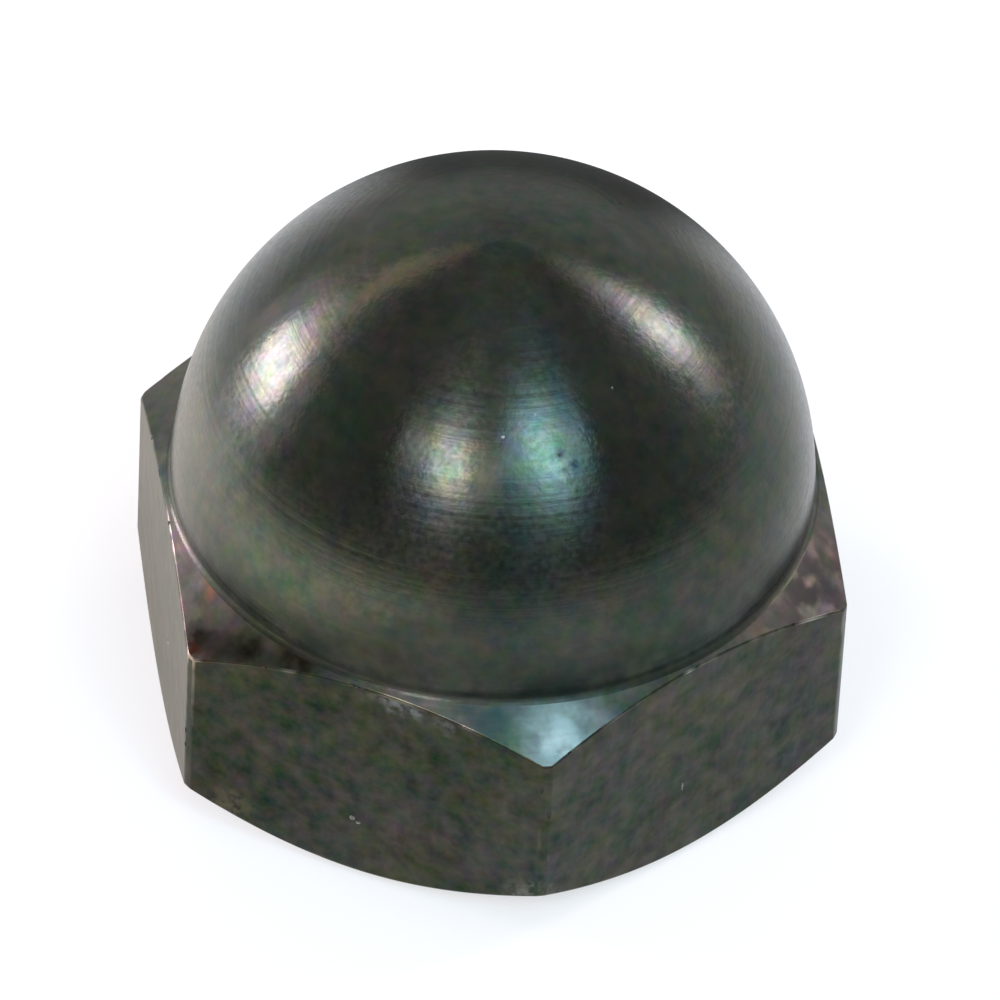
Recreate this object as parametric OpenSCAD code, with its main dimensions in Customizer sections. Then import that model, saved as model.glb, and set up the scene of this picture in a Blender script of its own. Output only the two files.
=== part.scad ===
// Domed cap nut that holds a steering wheel on its column.
// It is one piece of blackened steel: hexagonal bar, turned to a hemisphere on top,
// chamfered at both ends, then drilled and tapped from below.
// It stands on its bearing face, centred on the origin, with the thread's axis along Z.
// The 5/8 inch thread is left plain here: the bore has the thread's inner diameter.

/* [Hexagon] */
// Width across the flats, which takes a 15/16 inch spanner
across_flats = 23.8; // [19:0.1:30]
// Height from the bearing face to the foot of the dome
hex_h = 9.75; // [7.5:0.05:16]
// How far the bar's upright corners are rounded back along the radius
corner_break = 0.1; // [0.05:0.05:0.4]

/* [Chamfers] */
// Slope of the upper chamfer, in degrees from level
top_slope = 34; // [20:1:45]
// Slope of the lower chamfer, in degrees from level
base_slope = 40; // [20:1:50]
// How far the edge of the bearing face lies inside the flats
base_inset = 0.5; // [0.2:0.1:1.5]

/* [Dome] */
// How far the foot of the dome lies inside the flats
dome_inset = 0.3; // [0.2:0.05:1.5]
// Radius that the turning tool leaves round the foot of the dome
foot_r = 0.35; // [0.2:0.05:0.4]

/* [Bore] */
// Diameter of the bore, at the crests of its thread
bore_d = 14.5; // [8:0.1:18]
// How far the countersunk mouth opens beyond the bore, along the radius
mouth_break = 1; // [0.5:0.1:1.5]
// Metal left between the drill point and the top of the dome
crown_wall = 2.1; // [1.2:0.1:5]
// Angle of the drill point, from side to side
point_angle = 118; // [90:1:140]

/* [Hidden] */
steel_black = "#34373a";
// Steps round a full turn
$fn = 144;
// How far a cutter or a bar runs past the metal it works on
spare = 1;

flat_r = across_flats / 2;
corner_r = flat_r / cos(30);
trimmed_r = corner_r - corner_break;
bearing_r = flat_r - base_inset;
dome_r = flat_r - dome_inset;
total_h = hex_h + dome_r;

// Where each chamfer ends on the trimmed corners
base_edge_z = (trimmed_r - bearing_r) * tan(base_slope);
top_edge_z = hex_h - (trimmed_r - dome_r) * tan(top_slope);

// Centre of the tool radius at the dome's foot, measured from where the dome meets the
// chamfer: it lies touch_r from the hemisphere and touch_r above the chamfer, a hair less
// than its own radius, so that its curve crosses both of them cleanly
touch_r = foot_r - 0.001;
foot_b = dome_r * pow(cos(top_slope), 2) - touch_r * sin(top_slope);
foot_c = touch_r * (touch_r * pow(sin(top_slope), 2) - 2 * dome_r * pow(cos(top_slope), 2));
foot_x = sqrt(foot_b * foot_b - foot_c) - foot_b;
foot_y = (touch_r - foot_x * sin(top_slope)) / cos(top_slope);
foot_centre = [dome_r + foot_x, hex_h + foot_y];
foot_on_dome = foot_centre * (1 - foot_r / (dome_r + touch_r))
    + [0, hex_h] * foot_r / (dome_r + touch_r);
foot_on_chamfer = foot_centre - foot_r * [sin(top_slope), cos(top_slope)];

bore_r = bore_d / 2;
mouth_r = bore_r + mouth_break;
point_h = bore_r / tan(point_angle / 2);
bore_end_z = total_h - crown_wall - point_h;

// Half outline of the turned shape: radius against height
module chamfered_outline() {
    polygon([
        [0, 0],
        [bearing_r, 0],
        [trimmed_r, base_edge_z],
        [trimmed_r, top_edge_z],
        [dome_r, hex_h],
        [0, hex_h]
    ]);
}

module dome_outline() {
    translate([0, hex_h])
        intersection() {
            circle(r = dome_r);
            square(dome_r + spare);
        }
}

// Metal that the tool radius leaves in the corner between dome and chamfer
module foot_outline() {
    difference() {
        polygon([[dome_r - foot_r, hex_h - foot_r], foot_on_chamfer, foot_centre, foot_on_dome]);
        translate(foot_centre) circle(r = foot_r);
    }
}

module turned_body() {
    rotate_extrude() {
        chamfered_outline();
        dome_outline();
        foot_outline();
    }
}

module hexagonal_bar() {
    translate([0, 0, -spare])
        cylinder(h = total_h + 2 * spare, r = corner_r, $fn = 6);
}

module blind_bore() {
    rotate_extrude()
        polygon([
            [0, -spare],
            [mouth_r + spare, -spare],
            [bore_r, mouth_break],
            [bore_r, bore_end_z],
            [0, bore_end_z + point_h]
        ]);
}

module nut() {
    color(steel_black)
        difference() {
            intersection() {
                hexagonal_bar();
                turned_body();
            }
            blind_bore();
        }
}

nut();
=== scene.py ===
# %% [markdown]
# # A domed cap nut, the kind that holds a steering wheel on its column
#
# The real nut starts as a length of hexagonal steel bar. A lathe turns one end to a hemisphere, cuts a
# chamfer on both ends of the hexagon, drills a blind hole from below and taps a thread in it. Then the nut
# is blackened in a hot salt bath and dipped in oil. This lesson keeps nearly the same order: the turned
# outline, the flats, worn edges, dents, a real thread, and then the finishes.

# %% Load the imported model
import math
import random

import bmesh
import bpy
from mathutils import Matrix, Vector


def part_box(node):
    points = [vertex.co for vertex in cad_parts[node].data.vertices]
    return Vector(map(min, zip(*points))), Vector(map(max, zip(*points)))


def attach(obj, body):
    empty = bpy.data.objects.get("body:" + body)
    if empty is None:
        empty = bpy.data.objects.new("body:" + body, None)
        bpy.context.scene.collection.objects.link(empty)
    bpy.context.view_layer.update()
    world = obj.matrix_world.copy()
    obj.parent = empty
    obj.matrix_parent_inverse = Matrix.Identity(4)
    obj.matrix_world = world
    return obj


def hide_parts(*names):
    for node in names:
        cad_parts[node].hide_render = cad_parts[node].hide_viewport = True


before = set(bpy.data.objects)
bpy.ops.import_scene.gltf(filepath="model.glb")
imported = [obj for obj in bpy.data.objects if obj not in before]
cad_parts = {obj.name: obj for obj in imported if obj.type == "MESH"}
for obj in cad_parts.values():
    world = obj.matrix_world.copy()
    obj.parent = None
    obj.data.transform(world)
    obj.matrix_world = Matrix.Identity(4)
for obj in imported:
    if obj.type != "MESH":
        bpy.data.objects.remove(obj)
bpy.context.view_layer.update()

# %% [markdown]
# ## Sizes
#
# The CAD model is fixed, so its box gives the three main sizes: half the width across the flats, the radius
# to which the hexagon's corners are trimmed, and the height. The rest repeats the drawing. Blender works in
# metres here and a fitter thinks in millimetres, so a short function turns one into the other. The two
# radii are a ten-thousandth of a millimetre under the CAD's, so that rounding never puts a point outside.

# %% Main sizes, from the CAD box
MILLIMETRE = 0.001
nut_low, nut_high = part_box("nut")


def mm(*values):
    """Millimetres to metres: one number, or the coordinates of a point."""
    if len(values) == 1:
        return values[0] * MILLIMETRE
    return Vector(values) * MILLIMETRE


CLEARANCE = 0.0001
flat_radius = min(nut_high.y, -nut_low.y) / MILLIMETRE - CLEARANCE
trimmed_radius = min(nut_high.x, -nut_low.x) / MILLIMETRE - CLEARANCE
total_height = nut_high.z / MILLIMETRE
print("flats at", flat_radius, "corners trimmed to", trimmed_radius, "height", total_height)

# %% Sizes of the drawing: lengths in millimetres, slopes given in degrees from the level
hexagon_height = 9.75
dome_radius = total_height - hexagon_height
bearing_radius = 11.4
base_slope = math.radians(40)
top_slope = math.radians(34)
foot_radius = 0.35
bore_radius = 7.25
mouth_radius = 8.25
bore_depth = 14.894
drill_tip = 19.25
print("dome radius", dome_radius)

# %% [markdown]
# ## The turned outline
#
# Everything on this nut except the six flats is round, so it can be drawn as one outline in the plane of
# the axis and spun once. The outline could also be a curve or a stack of cylinders, but a line that is
# extruded point by point reads like the lathe's own list of cuts: it starts at the tip of the drilled hole,
# runs down the bore, across the bearing face, up the outside and over the dome to the axis again. Both ends
# lie on the axis, so the spin closes the solid by itself.

# %% Drawing a line point by point


def start_line(name, point):
    """A single loose vertex to draw from: a small plane, merged at its middle and moved to the point."""
    bpy.ops.mesh.primitive_plane_add(size=mm(1), location=(0, 0, 0))
    line = bpy.context.object
    line.name = name
    bpy.ops.object.mode_set(mode="EDIT")
    bpy.ops.mesh.select_mode(type="VERT")
    bpy.ops.mesh.select_all(action="SELECT")
    bpy.ops.mesh.merge(type="CENTER")
    bpy.ops.transform.translate(value=point)
    return line


def pen_position(line):
    """The place of the selected vertex, which is the end of the line so far."""
    return next(v.co.copy() for v in bmesh.from_edit_mesh(line.data).verts if v.select)


def line_to(line, point):
    """Extrudes the end of the line to a point."""
    step = Vector(point) - pen_position(line)
    bpy.ops.mesh.extrude_vertices_move(TRANSFORM_OT_translate={"value": step})


def arc_about(centre, angle, steps):
    """Spins the end of the line about a centre, in the plane of the axis. A positive angle climbs."""
    bpy.ops.mesh.spin(steps=steps, angle=angle, center=centre, axis=(0, 1, 0))


# %% Where the outline's corners and arcs lie
trim_rise = (trimmed_radius - bearing_radius) * math.tan(base_slope)
trim_top = hexagon_height - (trimmed_radius - dome_radius) * math.tan(top_slope)

# The foot radius touches the chamfer and the dome, so its centre is one foot radius away from both. How far
# that centre lies outside the dome's radius is the root of a quadratic.
chamfer_gap = foot_radius / math.cos(top_slope)
slope = math.tan(top_slope)
square_term = 1 + slope * slope
plain_term = 2 * (dome_radius - chamfer_gap * slope)
constant_term = dome_radius**2 + chamfer_gap**2 - (dome_radius + foot_radius) ** 2
root = math.sqrt(plain_term * plain_term - 4 * square_term * constant_term)
foot_out = (-plain_term + root) / (2 * square_term)
foot_centre = Vector((dome_radius + foot_out, 0, hexagon_height + chamfer_gap - foot_out * slope))
foot_start = foot_centre - foot_radius * Vector((math.sin(top_slope), 0, math.cos(top_slope)))
foot_rise = math.atan2(foot_centre.z - hexagon_height, foot_centre.x)
foot_turn = math.pi / 2 - top_slope - foot_rise
print("foot of the dome from", tuple(foot_start), "about", tuple(foot_centre))

# %% Draw the outline
FOOT_STEPS = 8
DOME_STEPS = 60
outline = (
    (bore_radius, bore_depth),
    (bore_radius, mouth_radius - bore_radius),
    (mouth_radius, 0),
    (bearing_radius, 0),
    (trimmed_radius, trim_rise),
    (trimmed_radius, trim_top),
    (foot_start.x, foot_start.z),
)
nut = start_line("domed_cap_nut", mm(0, 0, drill_tip))
for radius, height in outline:
    line_to(nut, mm(radius, 0, height))
arc_about(mm(*foot_centre), -foot_turn, FOOT_STEPS)
arc_about(mm(0, 0, hexagon_height), math.pi / 2 - foot_rise, DOME_STEPS)
print("the outline ends at", tuple(pen_position(nut)))

# %% Spin it into a closed solid
ROUND_STEPS = 240
WELD = mm(0.001)
bpy.ops.mesh.select_all(action="SELECT")
bpy.ops.mesh.spin(steps=ROUND_STEPS, angle=math.tau, center=(0, 0, 0), axis=(0, 0, 1))
bpy.ops.mesh.select_all(action="SELECT")
bpy.ops.mesh.remove_doubles(threshold=WELD)
bpy.ops.mesh.normals_make_consistent(inside=False)
bpy.ops.object.mode_set(mode="OBJECT")
print("turned blank:", len(nut.data.vertices), "vertices")

# %% [markdown]
# ## The six flats
#
# The bar is hexagonal before the lathe touches it. Cutting the flats after the turning gives the same
# shape: each cut is a plane, the part outside it falls away, and the plane is filled. Where it crosses the
# sloping chamfer it leaves the arched top edge that every turned nut has. A Boolean with a hexagonal block
# would do as well, but six bisects leave cleaner edges for the bevel that follows.

# %% Cut the flats
FLATS = 6
FINE_WELD = mm(0.0001)
bpy.ops.object.mode_set(mode="EDIT")
for number in range(FLATS):
    turn = math.pi / FLATS + number * math.tau / FLATS
    facing = Matrix.Rotation(turn, 3, "Z") @ Vector((1, 0, 0))
    bpy.ops.mesh.select_all(action="SELECT")
    bpy.ops.mesh.bisect(
        plane_co=facing * mm(flat_radius),
        plane_no=facing,
        use_fill=True,
        clear_outer=True,
        threshold=FINE_WELD,
    )
bpy.ops.object.mode_set(mode="OBJECT")
print("with flats:", len(nut.data.polygons), "faces")

# %% [markdown]
# ## Worn edges
#
# No edge on a steel part is perfectly sharp, and on a blackened nut the edges are the first place where a
# spanner rubs the black away. A narrow bevel on the outside edges catches a line of light. It could be a
# modifier, but in edit mode it can be kept to chosen edges and give its faces their own finish.

# %% The finishes' slots, in order
TURNED, CHAMFER, FLAT, EDGE, THREAD, DENT, BARE = range(7)
finishes = [
    bpy.data.materials.new(name)
    for name in (
        "black_oxide_steel_turned",
        "black_oxide_steel_turned_coarse",
        "black_oxide_steel_drawn",
        "black_oxide_steel_rubbed",
        "black_oxide_steel_tapped_oiled",
        "black_oxide_steel_dented",
        "scratched_bare_steel",
    )
]
for finish in finishes:
    nut.data.materials.append(finish)
print([finish.name for finish in finishes])

# %% Bevel the outside edges
EDGE_WIDTH = 0.07
EDGE_STEPS = 2
SHARP = math.radians(25)
# The margin for leaving out edges inside the hole's mouth and above the hexagon.
NEAR = 0.1
bpy.ops.object.mode_set(mode="EDIT")
bpy.ops.mesh.select_all(action="DESELECT")
bpy.ops.mesh.select_mode(type="EDGE")
bpy.ops.mesh.edges_select_sharp(sharpness=SHARP)
mesh = bmesh.from_edit_mesh(nut.data)
for edge in mesh.edges:
    middle = (edge.verts[0].co + edge.verts[1].co) / 2
    if middle.to_2d().length < mm(mouth_radius - NEAR) or middle.z > mm(hexagon_height - NEAR):
        edge.select_set(False)
mesh.select_flush_mode()
print("edges to bevel:", sum(edge.select for edge in mesh.edges))
bmesh.update_edit_mesh(nut.data)
bpy.ops.mesh.bevel(offset=mm(EDGE_WIDTH), segments=EDGE_STEPS, affect="EDGES", material=EDGE)
bpy.ops.object.mode_set(mode="OBJECT")
print("with worn edges:", len(nut.data.polygons), "faces")

# %% [markdown]
# ## Dents and nicks
#
# A nut that has been on a car has been dropped and has had tools slip over it. The marks could be painted
# on, yet a real hollow moves with the light. One small ball is copied to each mark, stretched and turned
# there, and all the copies are cut from the nut at once. A fixed seed spreads the nicks along the edges,
# so they fall the same every time.

# %% One ball, to be copied
bpy.ops.mesh.primitive_ico_sphere_add(subdivisions=3, radius=mm(1), location=(0, 0, 0))
ball = bpy.context.object
for finish in finishes:
    ball.data.materials.append(finish)
print("ball:", len(ball.data.polygons), "faces")

# %% Placing a copy of the ball
dents = []


def dent(centre, size, finish=DENT, turn=0.0):
    """Copies the ball to a place in millimetres, with three half sizes, turned about its upright axis."""
    mark = ball.copy()
    mark.data = ball.data.copy()
    bpy.context.scene.collection.objects.link(mark)
    stretch = Matrix.Diagonal((*size, 1.0))
    mark.data.transform(Matrix.Translation(mm(*centre)) @ Matrix.Rotation(turn, 4, "Z") @ stretch)
    for face in mark.data.polygons:
        face.material_index = finish
    dents.append(mark)


# %% Round marks on the dome
def around(bearing, radius, height):
    """A point given as on a lathe: bearing in degrees, radius and height in millimetres."""
    bearing = math.radians(bearing)
    return (radius * math.cos(bearing), radius * math.sin(bearing), height)


def dome_point(bearing, rise, radius=dome_radius):
    """A point in millimetres at a bearing and a height angle, as seen from the middle of the dome."""
    rise = math.radians(rise)
    return Vector(around(bearing, radius * math.cos(rise), hexagon_height + radius * math.sin(rise)))


def on_dome(bearing, rise, half_width, depth, finish):
    """A round hollow in the dome: the ball's centre stands off so that only its cap cuts in."""
    stand_off = (half_width**2 - depth**2) / (2 * depth)
    radius = stand_off + depth
    dent(dome_point(bearing, rise, dome_radius + stand_off), (radius, radius, radius), finish)


# Each mark's bearing and height angle in degrees, half its width and its depth in millimetres, its finish.
dome_marks = (
    (-33.2, 55.0, 0.07, 0.010, BARE),
    (-68.2, 50.1, 0.08, 0.010, BARE),
    (-58.9, 53.8, 0.05, 0.008, BARE),
    (-53.6, 46.3, 0.13, 0.012, DENT),
    (-50.3, 44.5, 0.12, 0.014, DENT),
    (-10.1, 47.8, 0.20, 0.014, DENT),
    (112.0, 40.0, 0.09, 0.012, BARE),
    (160.0, 22.0, 0.08, 0.010, BARE),
    (60.0, 63.0, 0.16, 0.016, DENT),
)
for settings in dome_marks:
    on_dome(*settings)
print(len(dents), "marks on the dome")

# %% Scratches in the flats, where something hard has slipped
FRONT_FLAT = -math.pi / 2
SCRATCH_DEPTH = 0.03


def flat_directions(number):
    """A flat's bearing, the way it faces and the level way along it. Flat 0 is the front left one."""
    bearing = FRONT_FLAT + number * math.tau / FLATS
    facing = Vector((math.cos(bearing), math.sin(bearing), 0))
    sideways = Vector((-math.sin(bearing), math.cos(bearing), 0))
    return bearing, facing, sideways


# Each scratch's flat, how far along it and how high, half its length and half its height, its finish.
scratches = (
    (0, -0.415, 2.973, 0.11, 0.12, BARE),
    (0, -0.166, 2.828, 0.11, 0.07, BARE),
    (1, -0.48, 3.73, 0.05, 0.20, BARE),
    (2, -2.60, 5.60, 0.30, 0.12, DENT),
    (3, 2.10, 3.40, 0.24, 0.10, BARE),
    (4, -1.20, 6.10, 0.10, 0.22, DENT),
    (5, 1.90, 4.30, 0.18, 0.10, BARE),
)
for number, along, height, half_length, half_height, finish in scratches:
    bearing, facing, sideways = flat_directions(number)
    centre = facing * flat_radius + sideways * along + Vector((0, 0, height))
    dent(centre, (SCRATCH_DEPTH, half_length, half_height), finish, bearing)
print(len(scratches), "scratches in the flats")

# %% Nicks along the top edges of the flats
SEED = 11
NICKS_ON_TOP_EDGE = 4
HALF_EDGE = 6.3
TOP_NICK_SIZES = (0.06, 0.14)
TOP_NICK_STRETCH = (1.0, 2.6)
TOP_STAND_OFF = 0.4
chance = random.Random(SEED)


def nick_top_edge(number):
    """A nick at a random place on a flat's arched top edge. It stands off the edge by a part of its size."""
    bearing, facing, sideways = flat_directions(number)
    along = chance.uniform(-HALF_EDGE, HALF_EDGE)
    out = math.hypot(flat_radius, along)
    height = hexagon_height - (out - dome_radius) * math.tan(top_slope)
    size = chance.uniform(*TOP_NICK_SIZES)
    off = TOP_STAND_OFF * size
    centre = facing * (flat_radius + off) + sideways * along + Vector((0, 0, height + off))
    dent(centre, (size, size * chance.uniform(*TOP_NICK_STRETCH), size), DENT, bearing)


# %% Nicks along the upright corners
NICKS_ON_CORNER = 2
CORNER_SIDES = (-0.7, 0.7)
CORNER_NICK_SIZES = (0.06, 0.12)
CORNER_NICK_HEIGHTS = (2.6, 7.8)
CORNER_NICK_STRETCH = (1.0, 3.0)
CORNER_STAND_OFF = 0.5


def nick_corner(number):
    """A nick on either side of the corner after a flat, less than a degree from it, at a random height."""
    bearing = flat_directions(number)[0] + math.pi / FLATS + math.radians(chance.choice(CORNER_SIDES))
    size = chance.uniform(*CORNER_NICK_SIZES)
    outward = Vector((math.cos(bearing), math.sin(bearing), 0))
    centre = outward * (trimmed_radius + CORNER_STAND_OFF * size)
    centre.z = chance.uniform(*CORNER_NICK_HEIGHTS)
    dent(centre, (size, size, size * chance.uniform(*CORNER_NICK_STRETCH)), DENT, bearing)


for number in range(FLATS):
    for repeat in range(NICKS_ON_TOP_EDGE):
        nick_top_edge(number)
    for repeat in range(NICKS_ON_CORNER):
        nick_corner(number)
print(len(dents), "marks in all")

# %% Cut them all at once
def pick(*objects):
    """Selects these objects and no others, and makes the first one active."""
    bpy.ops.object.select_all(action="DESELECT")
    for thing in objects:
        thing.select_set(True)
    bpy.context.view_layer.objects.active = objects[0]


def cut_away(cutter):
    """Subtracts a closed mesh from the nut and removes it."""
    pick(nut)
    cut = nut.modifiers.new("cut", "BOOLEAN")
    cut.operation = "DIFFERENCE"
    cut.solver = "EXACT"
    cut.use_self = True
    cut.object = cutter
    bpy.ops.object.modifier_apply(modifier=cut.name)
    bpy.data.objects.remove(cutter)


pick(*dents)
bpy.ops.object.join()
bpy.data.objects.remove(ball)
cut_away(dents[0])
print("with dents:", len(nut.data.vertices), "vertices", len(nut.data.polygons), "faces")

# %% [markdown]
# ## The thread
#
# The bore has a right-hand 5/8 inch UNF thread, 18 turns to the inch. It is cut as a tap cuts it: a
# V-shaped profile with a flat tip is swept along a helix with the Screw modifier and subtracted. A bump
# pattern would be quicker, but the thread shows from below, and there its steps have to be real.

# %% Sizes of the thread
INCH = 25.4
TURNS_PER_INCH = 18
PITCH = INCH / TURNS_PER_INCH
MAJOR_RADIUS = 5 / 8 * INCH / 2
FULL_THREAD = INCH / 2
# The groove is a V of 60 degrees. Its flat, at the outer radius, is an eighth of the pitch wide.
GROOVE_FLAT = PITCH / 8
HALF_V = math.radians(30)
START_INSIDE = 0.25
mouth_of_v = bore_radius - START_INSIDE
half_flat = GROOVE_FLAT / 2
half_mouth = half_flat + (MAJOR_RADIUS - mouth_of_v) * math.tan(HALF_V)
print("pitch", PITCH, "outer radius", MAJOR_RADIUS, "half the groove's mouth", half_mouth)

# %% Sweep the groove along its helix
TURN_STEPS = 96
groove = start_line("thread_groove", mm(mouth_of_v, 0, -PITCH - half_mouth))
for radius, rise in ((MAJOR_RADIUS, -half_flat), (MAJOR_RADIUS, half_flat), (mouth_of_v, half_mouth)):
    line_to(groove, mm(radius, 0, -PITCH + rise))
bpy.ops.mesh.select_all(action="SELECT")
bpy.ops.mesh.edge_face_add()
bpy.ops.mesh.delete(type="ONLY_FACE")
bpy.ops.object.mode_set(mode="OBJECT")
screw = groove.modifiers.new("helix", "SCREW")
screw.steps = TURN_STEPS
screw.render_steps = TURN_STEPS
screw.angle = math.tau
screw.screw_offset = mm(PITCH)
screw.iterations = round((FULL_THREAD + PITCH) / PITCH)
screw.use_merge_vertices = False
bpy.ops.object.modifier_apply(modifier=screw.name)
print("groove:", len(groove.data.polygons), "faces")

# %% Close its ends, and cut it
bpy.ops.object.mode_set(mode="EDIT")
bpy.ops.mesh.select_all(action="SELECT")
bpy.ops.mesh.remove_doubles(threshold=FINE_WELD)
bpy.ops.mesh.fill_holes(sides=0)
bpy.ops.mesh.normals_make_consistent(inside=False)
bpy.ops.object.mode_set(mode="OBJECT")
cut_away(groove)
print("tapped:", len(nut.data.vertices), "vertices", len(nut.data.polygons), "faces")

# %% [markdown]
# ## Which face gets which finish, and how it is shaded
#
# Each surface of the real nut keeps the marks of the tool that made it, so each gets a finish of its own.
# Faces could be picked by hand, but their places and directions say just as well what cut them. The strips
# where the lathe trimmed the corners are too narrow to show marks, so they share the flats' finish.
#
# The cuts leave long, thin faces on the chamfer and the dome, and normals averaged over those make streaks
# in a reflection. On a cone and a sphere the exact normal is known at every point, so there it is set.

# %% Give each face its finish
LEVEL = 0.001
SKIN = 0.5
for face in nut.data.polygons:
    if face.material_index in (EDGE, DENT, BARE):
        continue
    centre = face.center / MILLIMETRE
    radius = centre.to_2d().length
    from_dome_centre = (centre - Vector((0, 0, hexagon_height))).length
    under_skin = centre.z < hexagon_height or from_dome_centre < dome_radius - SKIN
    if radius < mouth_radius and centre.z < drill_tip + SKIN and under_skin:
        face.material_index = THREAD
    elif abs(face.normal.z) < LEVEL:
        face.material_index = FLAT
    elif face.normal.z > LEVEL and radius > foot_start.x and centre.z < hexagon_height:
        face.material_index = CHAMFER
    else:
        face.material_index = TURNED
for slot_number, finish in enumerate(finishes):
    print(finish.name, sum(face.material_index == slot_number for face in nut.data.polygons))

# %% Shade it smooth, with the flats kept flat and the rims of the dents sharp
SMOOTH_BELOW = math.radians(35)
pick(nut)
bpy.ops.object.shade_smooth_by_angle(angle=SMOOTH_BELOW)
mesh = bmesh.new()
mesh.from_mesh(nut.data)
rims = 0
for edge in mesh.edges:
    if len({face.material_index in (DENT, BARE) for face in edge.link_faces}) == 2:
        edge.smooth = False
        rims += 1
mesh.to_mesh(nut.data)
mesh.free()
print("edges on the rims of dents:", rims)

# %% Let the large faces lead the shading
weigh = nut.modifiers.new("flats_lead", "WEIGHTED_NORMAL")
weigh.keep_sharp = True
bpy.ops.object.modifier_apply(modifier=weigh.name)
print("shaded:", len(nut.data.vertices), "vertices")

# %% Give the cone and the sphere their exact normals
TOUCH = 0.01
dome_centre = mm(0, 0, hexagon_height)
up = Vector((0, 0, 1))
normals = [corner.vector.copy() for corner in nut.data.corner_normals]
exact = 0
for face in nut.data.polygons:
    off_dome = abs((face.center - dome_centre).length - mm(dome_radius))
    on_sphere = face.material_index == TURNED and off_dome < mm(TOUCH) and face.center.z > dome_centre.z
    if face.material_index != CHAMFER and not on_sphere:
        continue
    for corner in face.loop_indices:
        point = nut.data.vertices[nut.data.loops[corner].vertex_index].co
        outward = point - dome_centre if on_sphere else Vector((point.x, point.y, 0))
        outward.normalize()
        normals[corner] = outward if on_sphere else outward * math.sin(top_slope) + up * math.cos(top_slope)
        exact += 1
nut.data.normals_split_custom_set(normals)
print("corners given their exact normal:", exact, "of", len(normals))

# %% [markdown]
# ## The finishes
#
# Black oxide is a skin of magnetite a thousandth of a millimetre thick, made by boiling the steel in
# caustic salts, and closed with oil. It hides no tool mark, so every surface keeps the grain of the way it
# was cut. The skin and the oil send back only about a twentieth of the light that meets them squarely, and
# nearly all of it at a glancing angle, which is what a metal shader with a very dark colour does. The black
# is never even: it leans to green, brown and blue from one patch to the next.
#
# One function adds any node: it takes its type, values or links for its sockets, and its properties.

# %% Colours and nodes


def colour(hex_code):
    """An sRGB hex colour as a socket's linear colour with alpha, by the curve of the sRGB standard."""
    channels = [int(hex_code[i : i + 2], 16) / 255 for i in (1, 3, 5)]
    return [c / 12.92 if c <= 0.04045 else ((c + 0.055) / 1.055) ** 2.4 for c in channels] + [1.0]


def fill_sockets(node, inputs):
    """Gives sockets their values, or links them: to another socket, or to a node's first output in use."""
    for name, value in inputs.items():
        if isinstance(value, bpy.types.Node):
            value = next(output for output in value.outputs if output.enabled)
        if isinstance(value, bpy.types.NodeSocket):
            node.id_data.links.new(value, node.inputs[name])
        else:
            node.inputs[name].default_value = value


def add_node(tree, kind, inputs=(), **settings):
    """Adds a node of a kind, named without its ShaderNode, sets its properties and fills its sockets."""
    node = tree.nodes.new("ShaderNode" + kind)
    for name, value in settings.items():
        setattr(node, name, value)
    fill_sockets(node, inputs if isinstance(inputs, dict) else dict(enumerate(inputs)))
    return node


print("a mid grey is", colour("#808080")[0], "of white in linear light")

# %% Settings that many nodes share, and the scale of a pattern
# A mask is a Map Range with soft ends: it is 0 at From Min and 1 at From Max, whichever of them is larger.
SOFT = {"interpolation_type": "SMOOTHSTEP"}
# A layer is a Mix of two colours. Their sockets go by number, because Mix has others of the same names.
LAYER = {"data_type": "RGBA", "clamp_result": True}
UNDER, OVER = 6, 7


def per_metre(size):
    """The scale at which a pattern repeats about once in so many millimetres."""
    return 1 / mm(size)


def overlap(tree, *masks):
    """Where several masks overlap, and how strongly: their product."""
    result = masks[0]
    for mask in masks[1:]:
        result = add_node(tree, "Math", (result, mask), operation="MULTIPLY")
    return result


print("a pattern of one millimetre has the scale", per_metre(1))

# %% What is the same all over a steel surface
# The tangent runs round the axis, and a quarter turn puts the drawn-out glints across the lathe's marks.
QUARTER_TURN = 0.25


def start_finish(material, roughness, anisotropy=0.0):
    """Sets what is the same all over a steel surface; returns its tree, shader and coordinates."""
    material.use_nodes = True
    tree = material.node_tree
    shader = tree.nodes["Principled BSDF"]
    all_over = {
        "Metallic": 1.0,
        "Roughness": roughness,
        "Anisotropic": anisotropy,
        "Anisotropic Rotation": QUARTER_TURN,
        "Tangent": add_node(tree, "Tangent", direction_type="RADIAL", axis="Z"),
    }
    fill_sockets(shader, all_over)
    return tree, shader, add_node(tree, "TexCoord").outputs["Object"]


# %% The uneven black
BLOTCHES = {"size": 0.7, "softness": 0.6, "share": 1.0}
PATCHES = {"size": 3.2, "softness": 0.5, "share": 0.6}


def oxide_colour(tree, place, base, unevenness, tinting):
    """The black: a base colour, uneven in small blotches and in wider, fainter patches, a little tinted."""
    black = colour(base)
    for spread in (BLOTCHES, PATCHES):
        sockets = {"Vector": place, "Scale": per_metre(spread["size"]), "Roughness": spread["softness"]}
        pattern = add_node(tree, "TexNoise", sockets)
        hues = {"Factor": tinting, UNDER: pattern.outputs["Fac"], OVER: pattern.outputs["Color"]}
        tinted = add_node(tree, "Mix", hues, **LAYER)
        layer = {"Factor": unevenness * spread["share"], UNDER: black, OVER: tinted}
        black = add_node(tree, "Mix", layer, blend_type="LINEAR_LIGHT", **LAYER)
    return black


# %% [markdown]
# ## The turned dome
#
# The dome is turned with a fine feed and a round-nosed tool. Its marks run round the axis, so a reflection
# is drawn out across them, along the meridians: the shader's anisotropy does that. The real feed marks are
# about a tenth of a millimetre apart, too fine to show here, so they are drawn at three times that. They
# could be cut into the mesh, but they are finer than its faces, so a bump draws them. A faint unevenness
# from the salt bath breaks up the edges of the highlights. In the corner at the dome's foot, a dull line is
# dust and old oil with painted shade. Above it, painted shade darkens the dome and thins out upwards.
# On the left both are left off, so that the foot keeps its highlight there.

# %% Turning marks


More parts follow.
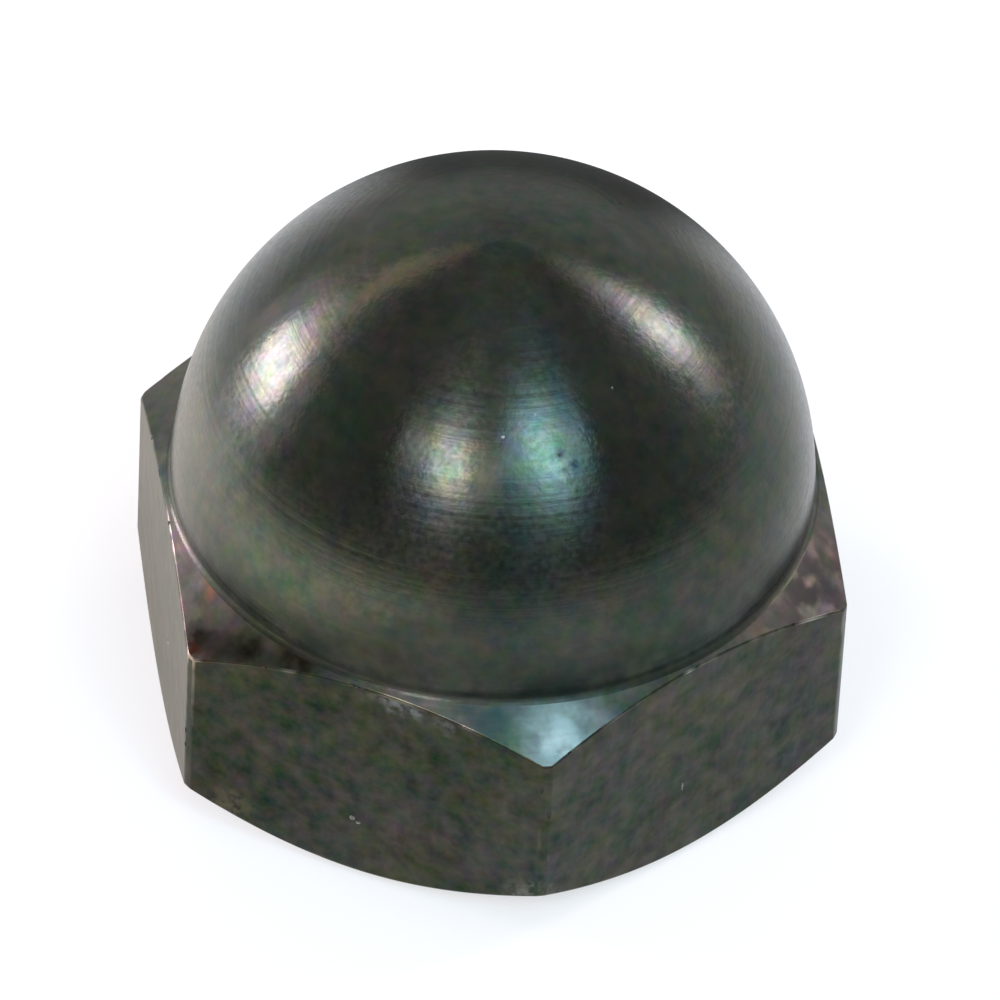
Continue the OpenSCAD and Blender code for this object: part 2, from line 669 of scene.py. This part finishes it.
def turning_marks(tree, place, spacing):
    """A pattern that depends only on the radius and the height, so that each line runs round the axis."""
    flattened = add_node(tree, "VectorMath", (place, (1.0, 1.0, 0.0)), operation="MULTIPLY")
    radius = add_node(tree, "VectorMath", (flattened,), operation="LENGTH")
    height = add_node(tree, "SeparateXYZ", (place,)).outputs["Z"]
    section = add_node(tree, "CombineXYZ", {"X": radius, "Z": height})
    return add_node(tree, "TexNoise", {"Vector": section, "Scale": per_metre(spacing), "Detail": 3.0})


# %% Local rubs, stains and dirt


def near_point(tree, place, point, reach):
    """1 at a point of the nut, falling softly to 0 at so many millimetres from it."""
    distance = add_node(tree, "VectorMath", (place, mm(*point)), operation="DISTANCE")
    return add_node(tree, "MapRange", {"Value": distance, "From Min": mm(reach), "From Max": 0.0}, **SOFT)


def ragged(tree, place, size, push):
    """The coordinates, pushed about by a fine pattern, so that a mark drawn in them has a ragged outline."""
    pattern = add_node(tree, "TexNoise", {"Vector": place, "Scale": per_metre(size), "Detail": 3.0})
    centred = add_node(tree, "VectorMath", (pattern.outputs["Color"], (0.5, 0.5, 0.5)), operation="SUBTRACT")
    return add_node(tree, "VectorMath", (centred, mm(push, push, push), place), operation="MULTIPLY_ADD")


def add_marks(tree, place, coat, patchy, marks):
    """Lays marks over a coat, broken up by a pattern: label, point, reach in millimetres, colour, amount."""
    for label, point, reach, tint, amount in marks:
        mask = overlap(tree, near_point(tree, place, point, reach), patchy, amount)
        layer = {"Factor": mask, UNDER: coat, OVER: colour(tint)}
        coat = add_node(tree, "Mix", layer, label=label, **LAYER)
    return coat


# %% The dome's colour
tree, shader, place = start_finish(finishes[TURNED], roughness=0.23, anisotropy=0.8)
black = oxide_colour(tree, place, "#40453d", unevenness=0.035, tinting=0.6)
stains = (
    ("a stain in the front light, left", dome_point(-53.4, 46.6), 0.34, "#1b1a26", 0.9),
    ("a stain in the front light, right", dome_point(-50.3, 44.4), 0.30, "#181a2a", 0.9),
    ("a stain below them", dome_point(-53.0, 43.8), 0.22, "#1e201e", 0.7),
    ("a dull spot high on the right", dome_point(-10.1, 47.8), 0.40, "#22241f", 0.7),
)
black = add_marks(tree, ragged(tree, place, size=0.3, push=0.3), black, 1.0, stains)
print(len(stains), "stains on the dome")

# %% At its foot: dust and old oil with painted shade in the corner, and painted shade thinning out above it
FOOT_PATTERN_SIZE = 1.1
# Round this point on the left, the dust and the painted shade are left off, so that the foot keeps its
# highlight.
CLEAN_AND_UNSHADED_SIDE = around(-147.0, 11.7, 9.8)
CLEAN_AND_UNSHADED_REACH = 4.2


def height_band(tree, height, empty_below, full_from, full_to, empty_above):
    """1 in a band of heights, given in millimetres, falling softly to 0 below it and above it."""
    rising = {"Value": height, "From Min": mm(empty_below), "From Max": mm(full_from)}
    falling = {"Value": height, "From Min": mm(empty_above), "From Max": mm(full_to)}
    masks = [add_node(tree, "MapRange", ramp, **SOFT) for ramp in (rising, falling)]
    return overlap(tree, *masks)


clean_and_unshaded = near_point(tree, place, CLEAN_AND_UNSHADED_SIDE, CLEAN_AND_UNSHADED_REACH)
foot_unevenness = add_node(tree, "TexNoise", {"Vector": place, "Scale": per_metre(FOOT_PATTERN_SIZE), "Detail": 3.0})
unevenly = {"Value": foot_unevenness, "From Min": 0.3, "From Max": 0.65, "To Min": 0.35}
dust_and_shade = overlap(
    tree,
    add_node(tree, "Math", (1.0, clean_and_unshaded), operation="SUBTRACT"),
    add_node(tree, "MapRange", unevenly, **SOFT),
)
height = add_node(tree, "SeparateXYZ", (place,)).outputs["Z"]
in_corner = height_band(tree, height, empty_below=9.2, full_from=9.5, full_to=9.95, empty_above=10.2)
above_it = height_band(tree, height, empty_below=9.75, full_from=10.0, full_to=9.9, empty_above=12.4)
foot_dirt_and_shade = overlap(tree, in_corner, dust_and_shade)
painted_shade_above_foot = overlap(tree, above_it, dust_and_shade)
# The line in the corner is dust and old oil with painted shade. The film above it is painted shade that
# darkens the dome towards its foot.
for mask, amount, tint in ((foot_dirt_and_shade, 0.2, "#1c1d18"), (painted_shade_above_foot, 0.85, "#1c2522")):
    layer = {"Factor": overlap(tree, mask, amount), UNDER: black, OVER: colour(tint)}
    black = add_node(tree, "Mix", layer, **LAYER)
# The point where the dust and the painted shade are left off.
print("the dust is thinnest at", CLEAN_AND_UNSHADED_SIDE)

# %% The dome's gloss and relief
FEED = 0.3
FEED_DEPTH = 0.010
GRAIN = 0.22
GRAIN_DEPTH = 0.005
DULLED_BY_DUST = 0.25
grain = add_node(tree, "TexNoise", {"Vector": place, "Scale": per_metre(GRAIN)})
gloss = {"Value": grain, "From Min": 0.2, "From Max": 0.8, "To Min": 0.19, "To Max": 0.27}
dulled = (add_node(tree, "MapRange", gloss, **SOFT), overlap(tree, foot_dirt_and_shade, DULLED_BY_DUST))
grained = add_node(tree, "Bump", {"Height": grain, "Distance": mm(GRAIN_DEPTH)})
ringed = {"Height": turning_marks(tree, place, FEED), "Distance": mm(FEED_DEPTH), "Normal": grained}
roughness = add_node(tree, "Math", dulled, operation="ADD")
relief = add_node(tree, "Bump", ringed)
fill_sockets(shader, {"Base Color": black, "Roughness": roughness, "Normal": relief})
print(finishes[TURNED].name, len(tree.nodes), "nodes")

# %% [markdown]
# ## The top chamfer
#
# The chamfer is cut with a coarse feed, and nobody polishes it, so it is rougher than the dome and spreads
# what it reflects. The corner at the front is rubbed by tools, and the rub is lightened into a painted
# highlight where the front lamp shows in it. Old oil sits to its left, the right corner is darker, and dirt
# and two specks of rust have started by the left corner. Such marks could be painted by hand.
# Here each is a point, a reach and a colour, in coordinates pushed about to make its outline ragged.

# %% Colour of the top chamfer
CLOUD = 0.9
tree, shader, place = start_finish(finishes[CHAMFER], roughness=0.4, anisotropy=0.3)
coat = oxide_colour(tree, place, "#484a42", unevenness=0.06, tinting=0.5)
cloud = add_node(tree, "TexNoise", {"Vector": place, "Scale": per_metre(CLOUD)})
patchy = {"Value": cloud, "From Min": 0.25, "From Max": 0.55, "To Min": 0.3}
chamfer_marks = (
    # The rub at the front corner is wear, lightened further as a painted highlight where the front lamp
    # shows in it.
    ("rubbed front corner, lightened as a painted highlight", around(-56.8, 12.9, 8.9), 2.4, "#727d79", 1.0),
    ("painted highlight in the rub", around(-57.6, 12.9, 8.9), 0.9, "#90928c", 0.6),
    ("old oil left of it", around(-69.0, 12.1, 9.4), 1.9, "#27393a", 0.8),
    # The right corner is painted darker over a wide patch.
    ("darker on the right corner", around(-2.0, 12.6, 8.9), 5.5, "#1a1b1b", 0.95),
    ("dirt on the left corner", around(-121.4, 13.05, 8.8), 1.1, "#191712", 1.0),
    ("dirt before the left corner", around(-117.0, 12.9, 8.95), 1.3, "#1f1e18", 0.7),
    ("dirt further along the edge", around(-112.8, 12.5, 9.15), 1.2, "#191810", 1.0),
    ("dirt where the edge nears the dome", around(-104.0, 11.95, 9.5), 1.5, "#1c1b10", 1.0),
    ("rust on the left corner", around(-120.5, 13.35, 8.57), 0.5, "#3a1c10", 1.0),
    ("rust by the foot of the dome", around(-126.5, 11.7, 9.7), 0.7, "#75503c", 0.7),
)
outlines = ragged(tree, place, size=0.5, push=1.0)
coat = add_marks(tree, outlines, coat, add_node(tree, "MapRange", patchy, **SOFT), chamfer_marks)
print(len(chamfer_marks), "marks on the chamfer")

# %% Relief of the top chamfer
COARSE_FEED = 0.25
COARSE_GRAIN = 0.35
TOOL_MARK_DEPTH = 0.006
grain = add_node(tree, "TexNoise", {"Vector": place, "Scale": per_metre(COARSE_GRAIN), "Detail": 3.0})
relief = add_node(tree, "Math", (turning_marks(tree, place, COARSE_FEED), grain), operation="ADD")
bump = add_node(tree, "Bump", {"Height": relief, "Distance": mm(TOOL_MARK_DEPTH)})
fill_sockets(shader, {"Base Color": coat, "Normal": bump})
print(finishes[CHAMFER].name, len(tree.nodes), "nodes")

# %% [markdown]
# ## The drawn flats
#
# The flats are the bar's own skin. It was pulled through a hexagonal die, which leaves fine lines along the
# bar, upright on the nut. A picture of drawn steel would do, but a noise stretched ten times along the axis
# gives such lines without one. The black takes unevenly on that skin, so the flats are the most mottled
# part. The front left flat has been rubbed under the middle of its top edge and at its two feet.

# %% Colour of the flats
FLAT_GRAIN = 0.3
tree, shader, place = start_finish(finishes[FLAT], roughness=0.35)
black = oxide_colour(tree, place, "#3a3d34", unevenness=0.055, tinting=0.42)
grain = add_node(tree, "TexNoise", {"Vector": place, "Scale": per_metre(FLAT_GRAIN), "Detail": 3.0})
patchy = add_node(tree, "MapRange", {"Value": grain, "From Min": 0.35, "From Max": 0.6}, **SOFT)
flat_rubs = (
    ("under the top edge", (1.0, -flat_radius, 9.45), 0.8, "#74787a", 1.0),
    ("right of it", (1.9, -flat_radius, 9.35), 0.6, "#6c7372", 1.0),
    ("and lower", (2.9, -flat_radius, 8.95), 0.6, "#5c605e", 0.9),
    ("left of it", (0.2, -flat_radius, 9.5), 0.6, "#5a5c50", 0.9),
    ("at the foot of the front corner", around(-61.5, 13.3, 1.6), 1.2, "#7a7970", 0.9),
    ("at the foot of the left corner", around(-113.0, 13.0, 1.7), 1.2, "#5e5a4a", 0.8),
)
black = add_marks(tree, ragged(tree, place, size=0.5, push=1.0), black, patchy, flat_rubs)
print(len(flat_rubs), "rubs on the flats")

# %% Relief of the flats
LINE_WIDTH = 0.25
LINE_LENGTH = 2.5
LINE_DEPTH = 0.006
WAVE = 1.3
WAVE_DEPTH = 0.03
line_scale = (per_metre(LINE_WIDTH), per_metre(LINE_WIDTH), per_metre(LINE_LENGTH))
drawn_out = add_node(tree, "Mapping", {"Vector": place, "Scale": line_scale})
lines = add_node(tree, "TexNoise", {"Vector": drawn_out, "Scale": 1.0})
waves = add_node(tree, "TexNoise", {"Vector": place, "Scale": per_metre(WAVE)})
relief = add_node(tree, "Math", (lines, grain), operation="ADD")
drawn = add_node(tree, "Bump", {"Height": relief, "Distance": mm(LINE_DEPTH)})
waved = add_node(tree, "Bump", {"Height": waves, "Distance": mm(WAVE_DEPTH), "Normal": drawn})
fill_sockets(shader, {"Base Color": black, "Normal": waved})
print(finishes[FLAT].name, len(tree.nodes), "nodes")

# %% [markdown]
# ## Rubbed edges, old dents and fresh scratches
#
# Where a spanner has rubbed, the oxide is thin and grey steel starts to show, in patches and not as an even
# line. A node can find the edges by how pointed the mesh is, but it sees every dent as well, and the
# bevel's faces already have a slot of their own. Old dents have been blackened with the rest and are dull
# with oil. Only the deeper scratches have gone through to the steel, and it has had time to dull.

# %% Finish of the rubbed edges
RUB = 1.4
tree, shader, place = start_finish(finishes[EDGE], roughness=0.35)
coat = oxide_colour(tree, place, "#3c3e35", unevenness=0.05, tinting=0.6)
rub = add_node(tree, "TexNoise", {"Vector": place, "Scale": per_metre(RUB), "Detail": 3.0})
worn = add_node(tree, "MapRange", {"Value": rub, "From Min": 0.52, "From Max": 0.72}, **SOFT)
coat = add_node(tree, "Mix", {"Factor": worn, UNDER: coat, OVER: colour("#66655c")}, **LAYER)
patchy = add_node(tree, "MapRange", {"Value": rub, "From Min": 0.3, "From Max": 0.55}, **SOFT)
edge_rubs = (
    ("the front left flat's top edge, near its middle", around(-82.0, 11.9, 9.6), 1.7, "#706e5e", 1.0),
    ("the top edge above the left flat", around(-141.0, 11.9, 9.6), 1.8, "#a39d98", 1.0),
    ("the left corner", around(-120.0, 13.64, 8.3), 0.6, "#94887a", 1.0),
    ("the right flat's top edge, near its middle", around(-32.4, 11.9, 9.5), 0.35, "#a0a096", 1.0),
    ("the right flat's top edge, by the corner", around(-6.5, 13.0, 8.8), 0.9, "#8f8e84", 1.0),
)
fill_sockets(shader, {"Base Color": add_marks(tree, place, coat, patchy, edge_rubs)})
print(finishes[EDGE].name, len(tree.nodes), "nodes")

# %% Finish of the old dents
tree, shader, place = start_finish(finishes[DENT], roughness=0.42)
fill_sockets(shader, {"Base Color": oxide_colour(tree, place, "#34352f", unevenness=0.05, tinting=0.5)})
print(finishes[DENT].name, len(tree.nodes), "nodes")

# %% Finish of the deeper scratches
SCRAPE = 0.15
tree, shader, place = start_finish(finishes[BARE], roughness=0.4)
grain = add_node(tree, "TexNoise", {"Vector": place, "Scale": per_metre(SCRAPE)})
scraped = add_node(tree, "MapRange", {"Value": grain, "From Min": 0.4, "From Max": 0.6}, **SOFT)
steel = {"Factor": scraped, UNDER: colour("#3c3c38"), OVER: colour("#827f78")}
fill_sockets(shader, {"Base Color": add_node(tree, "Mix", steel, **LAYER)})
print(finishes[BARE].name, len(tree.nodes), "nodes")

# %% [markdown]
# ## The tapped hole
#
# The thread was cut after drilling and before blackening. Salt and oil stay in it, so it is darker than the
# outside, a little brown, and wet-looking on its crests. Its turns are real, so it needs only a fine grain.

# %% Finish of the thread
THREAD_GRAIN = 0.3
THREAD_GRAIN_DEPTH = 0.01
tree, shader, place = start_finish(finishes[THREAD], roughness=0.32)
oily = oxide_colour(tree, place, "#35332c", unevenness=0.03, tinting=0.5)
grain = add_node(tree, "TexNoise", {"Vector": place, "Scale": per_metre(THREAD_GRAIN), "Detail": 3.0})
bump = add_node(tree, "Bump", {"Height": grain, "Distance": mm(THREAD_GRAIN_DEPTH)})
fill_sockets(shader, {"Base Color": oily, "Normal": bump})
print(finishes[THREAD].name, len(tree.nodes), "nodes")

# %% [markdown]
# ## Where things stand round the nut
#
# The floor's shades, the room's walls, the lamps and the camera all lie in directions from the nut. World
# axes would do, but away and right, as the camera sees them, are easier to think in. Both are fixed in the
# world and don't follow a camera that moves.

# %% Directions, as seen from the camera
VIEW_TURN = math.radians(19.55)
away = Vector((-math.sin(VIEW_TURN), math.cos(VIEW_TURN), 0))
right = Vector((math.cos(VIEW_TURN), math.sin(VIEW_TURN), 0))


def direction(bearing, height):
    """A unit vector, from degrees: bearing clockwise from "away", seen from above, and height."""
    bearing = math.radians(bearing)
    height = math.radians(height)
    level = away * math.cos(bearing) + right * math.sin(bearing)
    return level * math.cos(height) + Vector((0, 0, math.sin(height)))


print("away", tuple(away), "right", tuple(right))

# %% [markdown]
# ## The floor
#
# The nut stands on white paper in a light room. The paper keeps a soft shadow from the lamps, and it also
# glows a little by itself where the eye or a reflection looks at it, which brings it to white without more
# light on the nut. Polished black steel is a mirror, and an even white paper would show in it as one grey
# with a hard horizon. So in reflections only, painted shade dims the paper in a wedge behind the nut and far
# in front of it, and a painted pool of light makes it brighter and warmer on the left, where the low lamp
# rakes over it. From below it is clear, so the hole can be looked at too.

# %% A sheet of paper, and how far each point of it lies to each side
FLOOR_SIZE = 6
bpy.ops.mesh.primitive_plane_add(size=FLOOR_SIZE, location=(0, 0, 0))
floor = bpy.context.object
floor.name = "floor"
paper = bpy.data.materials.new("matt_white_paper")
paper.use_nodes = True
tree = paper.node_tree
place = add_node(tree, "TexCoord").outputs["Object"]
rays = add_node(tree, "LightPath").outputs


def how_far(toward):
    """The distance of a point of the paper from the nut's axis, along a level direction."""
    return add_node(tree, "VectorMath", (place, toward), operation="DOT_PRODUCT")


def strip(distance, nothing, full):
    """A mask of the paper: 0 at one distance in millimetres and 1 at another, with soft ends."""
    ramp = {"Value": distance, "From Min": mm(nothing), "From Max": mm(full)}
    return add_node(tree, "MapRange", ramp, **SOFT)


print("floor", tuple(floor.dimensions))

# %% Where painted shade dims the paper in reflections: in a wedge behind the nut, and far in front of it
DIM_WEDGE_BEARING = 4
SIDE_BEARING = DIM_WEDGE_BEARING + 90
dim_wedge_away = how_far(direction(DIM_WEDGE_BEARING, 0))
dim_wedge_side = add_node(tree, "Math", (how_far(direction(SIDE_BEARING, 0)),), operation="ABSOLUTE")
not_zero = add_node(tree, "Math", (dim_wedge_away, mm(1)), operation="MAXIMUM")
slant = add_node(tree, "Math", (dim_wedge_side, not_zero), operation="DIVIDE")
wedge = add_node(tree, "MapRange", {"Value": slant, "From Min": 0.5, "From Max": 0.2}, **SOFT)
behind = overlap(tree, wedge, strip(dim_wedge_away, nothing=18, full=30))
in_front = strip(how_far(-away), nothing=80, full=400)
# The zone of painted shade: in reflections only, the paper is dimmed here.
painted_shade_zone = add_node(tree, "Math", (behind, in_front), operation="MAXIMUM")
dim = overlap(tree, painted_shade_zone, rays["Is Glossy Ray"])
print("the wedge lies along", tuple(direction(DIM_WEDGE_BEARING, 0)))

# %% Where it is warm, and where it is raked by the low lamp
to_left = how_far(-right)
beside = overlap(tree, strip(how_far(away), nothing=32, full=14), rays["Is Glossy Ray"])
warm = overlap(tree, beside, strip(to_left, nothing=5, full=12))
raked = overlap(tree, beside, strip(to_left, nothing=16, full=40), strip(to_left, nothing=110, full=60))
print("warm and raked on the side of", tuple(-right))

# %% The paper's colour and glow
PAPER_LEVEL = 0.62
RAKED_LEVEL = 1.7
DIMMING = 0.85
shader = tree.nodes["Principled BSDF"]
seen = rays["Is Camera Ray"]
for ray in ("Is Glossy Ray", "Is Transmission Ray"):
    seen = add_node(tree, "Math", (seen, rays[ray]), operation="MAXIMUM")
open_paper = add_node(tree, "Math", (1.0, overlap(tree, dim, DIMMING)), operation="SUBTRACT")
glow = (overlap(tree, seen, PAPER_LEVEL, open_paper), overlap(tree, raked, RAKED_LEVEL))
glow_colour = {"Factor": warm, UNDER: colour("#ffffff"), OVER: colour("#fff7ee")}
white = {"Factor": warm, UNDER: colour("#a0a0a0"), OVER: colour("#a09b92")}
shade = {"Factor": dim, UNDER: add_node(tree, "Mix", white, **LAYER), OVER: colour("#303030")}
paper_surface = {
    "Roughness": 1.0,
    "Specular IOR Level": 0.0,
    "Base Color": add_node(tree, "Mix", shade, **LAYER),
    "Emission Color": add_node(tree, "Mix", glow_colour, **LAYER),
    "Emission Strength": add_node(tree, "Math", glow, operation="ADD"),
}
fill_sockets(shader, paper_surface)
print("paper:", len(tree.nodes), "nodes so far")

# %% Clear from below
from_below = add_node(tree, "NewGeometry").outputs["Backfacing"]
clear = add_node(tree, "BsdfTransparent")
one_way = add_node(tree, "MixShader", (from_below, shader, clear))
fill_sockets(tree.nodes["Material Output"], {"Surface": one_way})
floor.data.materials.append(paper)
print(paper.name, len(tree.nodes), "nodes")

# %% [markdown]
# ## The room
#
# Black steel shows its surroundings more than itself. Here the room is a world colour in two soft ramps
# from the horizon to straight up: a light wall behind the nut and a dim one in front, blended by direction.
# A picture of a room would do the same but could not be changed by a number. Below the floor it is an even
# light grey all round, so that the nut can be looked at from underneath, and the eye itself always sees
# white.

# %% How bright each wall is, from the horizon at 0 to straight up at 1
BACK_WALL = ((0, 0.42), (0.17, 0.95), (0.4, 0.85), (0.65, 0.4), (1, 0.55))
FRONT_WALL = ((0, 0.1), (0.17, 0.25), (0.4, 0.15), (0.7, 0.45), (1, 0.55))
world = bpy.data.worlds.new("studio")
bpy.context.scene.world = world
world.use_nodes = True
tree = world.node_tree
looking = add_node(tree, "TexCoord").outputs["Generated"]
upwards = add_node(tree, "SeparateXYZ", (looking,)).outputs["Z"]
angle = add_node(tree, "Math", (upwards,), operation="ARCSINE")
rise = add_node(tree, "Math", (angle, math.pi / 2), operation="DIVIDE")
walls = []
for stops in (FRONT_WALL, BACK_WALL):
    ramp = add_node(tree, "ValToRGB", (rise,))
    for where, level in stops[1:-1]:
        ramp.color_ramp.elements.new(where)
    for element, (where, level) in zip(ramp.color_ramp.elements, stops):
        element.color = (level, level, level, 1)
    walls.append(ramp)
print(len(walls), "walls")

# %% The walls blended, the grey below them, and white for the eye
BLEND = 0.7
HORIZON_BLUR = 0.1
UNDERSIDE_LEVEL = 0.8
toward_back = add_node(tree, "VectorMath", (looking, away), operation="DOT_PRODUCT")
blend = add_node(tree, "MapRange", {"Value": toward_back, "From Min": -BLEND, "From Max": BLEND})
room = add_node(tree, "Mix", {"Factor": blend, UNDER: walls[0], OVER: walls[1]}, **LAYER)
below = add_node(tree, "MapRange", {"Value": rise, "From Min": 0.0, "From Max": -HORIZON_BLUR}, **SOFT)
underside = [UNDERSIDE_LEVEL] * 3 + [1.0]
room = add_node(tree, "Mix", {"Factor": below, UNDER: room, OVER: underside}, **LAYER)
eye = add_node(tree, "LightPath").outputs["Is Camera Ray"]
room = add_node(tree, "Mix", {"Factor": eye, UNDER: room, OVER: colour("#ffffff")}, **LAYER)
fill_sockets(tree.nodes["Background"], {"Color": room})
print("room:", len(tree.nodes), "nodes")

# %% [markdown]
# ## The camera
#
# A long lens from well back keeps the nut's proportions honest. The camera leans a few degrees and looks a
# little below the middle of the dome, so that the whole nut is framed. A constraint could aim it, but a
# turn that is worked out once needs nothing to hold it. Lengths are in millimetres, and the lens's goes
# with the usual sensor, 36 mm wide.

# %% Setting up a camera or a lamp


def leaning(back, lean):
    """The turn of a camera or a lamp whose back points that way, with a lean in degrees."""
    return back.to_track_quat("Z", "Y") @ Matrix.Rotation(math.radians(lean), 3, "Z").to_quaternion()


def set_up(name, data, spot, turn):
    """Stands a camera or a lamp at a spot, turned."""
    device = bpy.data.objects.new(name, data)
    bpy.context.scene.collection.objects.link(device)
    device.location = spot
    device.rotation_mode = "QUATERNION"
    device.rotation_quaternion = turn
    return device


# %% Camera
CAMERA_BEARING = 180
VIEW_RISE = 43.83
LEAN = 3.04
DISTANCE = 444.5
AIM_RIGHT = 0.2554
AIM_DOWN = 0.9783
LENS = 445.2
NEAREST_DRAWN = 50
back = direction(CAMERA_BEARING, VIEW_RISE)
spot = dome_centre + back * mm(DISTANCE)
aim = dome_centre + leaning(back, LEAN) @ mm(AIM_RIGHT, -AIM_DOWN, 0)
camera_data = bpy.data.cameras.new("camera")
camera_data.lens = LENS
camera_data.clip_start = mm(NEAREST_DRAWN)
bpy.context.scene.camera = set_up("camera", camera_data, spot, leaning((spot - aim).normalized(), LEAN))
print("camera at", tuple(spot))

# %% [markdown]
# ## The lamps
#
# Four soft boxes stand round the nut: a strong one low on the left, a higher one on the right, and two
# above the camera that make the pair of spots on the front of the dome. Each is a small bright core with a
# wide glow round it, as a lamp behind cloth has, sized by the angle it fills as the nut sees it. From the
# left and right lamps a faint band runs up towards the ceiling, which draws out their streaks on the dome.
# A picture of a studio could light it all at once, but each of these can be moved alone.


# %% A lamp
def lamp(name, bearing, height, across, tall, lean, distance, radiance, tint):
    """A soft box: angles in degrees, as seen from the nut; distance in metres; radiance 1 is white."""
    data = bpy.data.lights.new(name, "AREA")
    data.shape = "ELLIPSE"
    data.size = 2 * distance * math.tan(math.radians(across / 2))
    data.size_y = 2 * distance * math.tan(math.radians(tall / 2))
    area = math.pi / 4 * data.size * data.size_y
    # An area lamp's power is its radiance times pi times its area.
    data.energy = radiance * math.pi * area
    data.color = colour(tint)[:3]
    toward = direction(bearing, height)
    box = set_up(name, data, dome_centre + toward * distance, leaning(toward, lean))
    box.visible_camera = False


# %% The ten lamps: bearing, height, size across, size upwards, lean, distance, radiance, tint
lamps = (
    ("left_key_core", -69.0, 12.6, 23.0, 16.0, 20, 0.8, 23.0, "#ffe8f8"),
    ("left_key_glow", -68.0, 12.1, 46.0, 46.0, 0, 0.9, 1.3, "#ffe6f4"),
    ("left_key_tail", -42.0, 44.0, 9.0, 40.0, 65, 0.85, 1.4, "#ffd9b0"),
    ("right_key_core", 60.4, 33.5, 12.8, 16.6, -34, 0.8, 15.0, "#ffe8fa"),
    ("right_key_glow", 60.4, 33.5, 22.0, 42.0, -34, 0.9, 1.8, "#fff4ff"),
    ("right_key_tail", 42.0, 46.0, 9.0, 26.0, -48, 0.85, 1.2, "#ffe4f0"),
    ("front_left_core", -158.5, 44.2, 16.0, 9.8, -7, 0.8, 20.0, "#f8ebf6"),
    ("front_left_glow", -158.5, 45.5, 40.0, 19.0, -7, 0.9, 3.6, "#f8fcff"),
    ("front_right_core", 152.1, 48.0, 8.0, 25.8, 19, 0.8, 13.0, "#c4f0ff"),
    ("front_right_glow", 152.1, 49.5, 32.2, 32.0, 19, 0.9, 5.0, "#b4e0ff"),
)
for settings in lamps:
    lamp(*settings)
print(len(lamps), "lamps")

# %% [markdown]
# ## Handing over
#
# The finished piece rides on the nut's body and stands in for the plain solid.

# %% Hand over
bpy.context.scene.view_settings.view_transform = "Standard"
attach(nut, "root")
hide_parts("nut")
